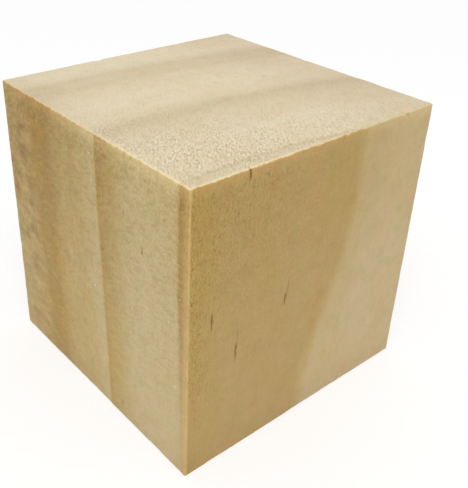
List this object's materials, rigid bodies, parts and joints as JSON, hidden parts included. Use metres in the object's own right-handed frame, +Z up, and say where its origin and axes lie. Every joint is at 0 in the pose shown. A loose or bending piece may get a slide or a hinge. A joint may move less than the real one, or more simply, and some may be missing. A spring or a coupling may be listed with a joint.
{
  "type": "wooden cube",
  "caption": "Plain solid softwood craft cube with lightly eased edges, standing on its end grain, for stacking, carving, painting, propping or use as a small riser.",
  "frame": {"origin": "middle of the base, which is one sawn end of the wood", "axes": "+Z up along the grain, towards the other sawn end; -Y is the front long-grain face and -X the left long-grain face, the two that the picture shows"},
  "size_m": [0.05, 0.05, 0.05],
  "materials": {
    "bare_softwood": "matte"
  },
  "bodies": {
    "root": {"wooden_cube": "bare_softwood"}
  },
  "joints": []
}
